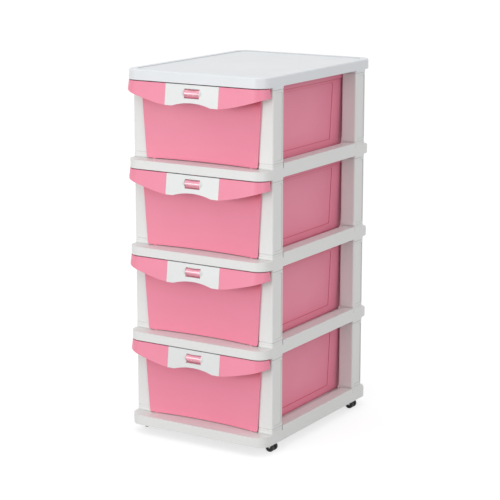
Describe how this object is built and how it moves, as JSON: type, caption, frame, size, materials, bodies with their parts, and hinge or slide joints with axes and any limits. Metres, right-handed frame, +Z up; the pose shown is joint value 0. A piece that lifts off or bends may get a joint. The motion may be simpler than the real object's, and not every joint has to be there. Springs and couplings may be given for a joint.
{
  "type": "plastic drawer tower",
  "caption": "Free-standing tower of stacked plastic frames on casters, with sliding drawers, hooded handles and a thumb latch on each.",
  "frame": {"origin": "on the floor, under the middle of the whole tower's outline", "axes": "+Z up, -Y towards the drawer fronts, +X to the right of someone who faces them"},
  "size_m": [0.3614, 0.4739, 0.806],
  "materials": {
    "white_moulding": "satin, finely grained",
    "pink_moulding": "satin, finely grained",
    "white_grip": "semi-gloss",
    "pink_latch": "gloss",
    "black_plastic": "satin",
    "black_wheel": "matt",
    "steel": "zinc-plated"
  },
  "bodies": {
    "cabinet": {"lid": "white_moulding", "base_frame": "white_moulding", "shelf_frame_1": "white_moulding", "shelf_frame_2": "white_moulding", "shelf_frame_3": "white_moulding", "post_front_left_1": "white_moulding", "post_front_right_1": "white_moulding", "post_rear_left_1": "white_moulding", "post_rear_right_1": "white_moulding", "post_front_left_2": "white_moulding", "post_front_right_2": "white_moulding", "post_rear_left_2": "white_moulding", "post_rear_right_2": "white_moulding", "post_front_left_3": "white_moulding", "post_front_right_3": "white_moulding", "post_rear_left_3": "white_moulding", "post_rear_right_3": "white_moulding", "post_front_left_4": "white_moulding", "post_front_right_4": "white_moulding", "post_rear_left_4": "white_moulding", "post_rear_right_4": "white_moulding"},
    "drawer_1": {"drawer_tub_1": "pink_moulding", "grip_plate_1": "white_grip"},
    "drawer_2": {"drawer_tub_2": "pink_moulding", "grip_plate_2": "white_grip"},
    "drawer_3": {"drawer_tub_3": "pink_moulding", "grip_plate_3": "white_grip"},
    "drawer_4": {"drawer_tub_4": "pink_moulding", "grip_plate_4": "white_grip"},
    "latch_1": {"latch_1": "pink_latch"},
    "latch_2": {"latch_2": "pink_latch"},
    "latch_3": {"latch_3": "pink_latch"},
    "latch_4": {"latch_4": "pink_latch"},
    "caster_front_left": {"caster_hood_front_left": "black_plastic", "caster_stem_front_left": "steel"},
    "wheels_front_left": {"caster_axle_front_left": "steel", "inner_wheel_front_left": "black_wheel", "outer_wheel_front_left": "black_wheel"},
    "caster_front_right": {"caster_hood_front_right": "black_plastic", "caster_stem_front_right": "steel"},
    "wheels_front_right": {"caster_axle_front_right": "steel", "inner_wheel_front_right": "black_wheel", "outer_wheel_front_right": "black_wheel"},
    "caster_rear_left": {"caster_hood_rear_left": "black_plastic", "caster_stem_rear_left": "steel"},
    "wheels_rear_left": {"caster_axle_rear_left": "steel", "inner_wheel_rear_left": "black_wheel", "outer_wheel_rear_left": "black_wheel"},
    "caster_rear_right": {"caster_hood_rear_right": "black_plastic", "caster_stem_rear_right": "steel"},
    "wheels_rear_right": {"caster_axle_rear_right": "steel", "inner_wheel_rear_right": "black_wheel", "outer_wheel_rear_right": "black_wheel"}
  },
  "joints": [
    {"name": "drawer_1_slide", "type": "slide", "parent": "cabinet", "child": "drawer_1", "axis": [0, -1, 0], "range_m": [0, 0.28]},
    {"name": "drawer_2_slide", "type": "slide", "parent": "cabinet", "child": "drawer_2", "axis": [0, -1, 0], "range_m": [0, 0.28]},
    {"name": "drawer_3_slide", "type": "slide", "parent": "cabinet", "child": "drawer_3", "axis": [0, -1, 0], "range_m": [0, 0.28]},
    {"name": "drawer_4_slide", "type": "slide", "parent": "cabinet", "child": "drawer_4", "axis": [0, -1, 0], "range_m": [0, 0.28]},
    {"name": "latch_1_turn", "type": "hinge", "parent": "drawer_1", "child": "latch_1", "pos_m": [0, -0.22484, 0.1938], "axis": [1, 0, 0], "range_deg": [0, 46]},
    {"name": "latch_2_turn", "type": "hinge", "parent": "drawer_2", "child": "latch_2", "pos_m": [0, -0.22484, 0.3838], "axis": [1, 0, 0], "range_deg": [0, 46]},
    {"name": "latch_3_turn", "type": "hinge", "parent": "drawer_3", "child": "latch_3", "pos_m": [0, -0.22484, 0.5738], "axis": [1, 0, 0], "range_deg": [0, 46]},
    {"name": "latch_4_turn", "type": "hinge", "parent": "drawer_4", "child": "latch_4", "pos_m": [0, -0.22484, 0.7638], "axis": [1, 0, 0], "range_deg": [0, 46]},
    {"name": "caster_front_left_swivel", "type": "hinge", "parent": "cabinet", "child": "caster_front_left", "pos_m": [-0.151, -0.17391, 0], "axis": [0, 0, 1], "continuous": true},
    {"name": "caster_front_right_swivel", "type": "hinge", "parent": "cabinet", "child": "caster_front_right", "pos_m": [0.151, -0.17391, 0], "axis": [0, 0, 1], "continuous": true},
    {"name": "caster_rear_left_swivel", "type": "hinge", "parent": "cabinet", "child": "caster_rear_left", "pos_m": [-0.151, 0.18159, 0], "axis": [0, 0, 1], "continuous": true},
    {"name": "caster_rear_right_swivel", "type": "hinge", "parent": "cabinet", "child": "caster_rear_right", "pos_m": [0.151, 0.18159, 0], "axis": [0, 0, 1], "continuous": true},
    {"name": "wheels_front_left_roll", "type": "hinge", "parent": "caster_front_left", "child": "wheels_front_left", "pos_m": [-0.16, -0.17391, 0.01], "axis": [0, 1, 0], "continuous": true},
    {"name": "wheels_front_right_roll", "type": "hinge", "parent": "caster_front_right", "child": "wheels_front_right", "pos_m": [0.16, -0.17391, 0.01], "axis": [0, 1, 0], "continuous": true},
    {"name": "wheels_rear_left_roll", "type": "hinge", "parent": "caster_rear_left", "child": "wheels_rear_left", "pos_m": [-0.16, 0.18159, 0.01], "axis": [0, 1, 0], "continuous": true},
    {"name": "wheels_rear_right_roll", "type": "hinge", "parent": "caster_rear_right", "child": "wheels_rear_right", "pos_m": [0.16, 0.18159, 0.01], "axis": [0, 1, 0], "continuous": true}
  ]
}
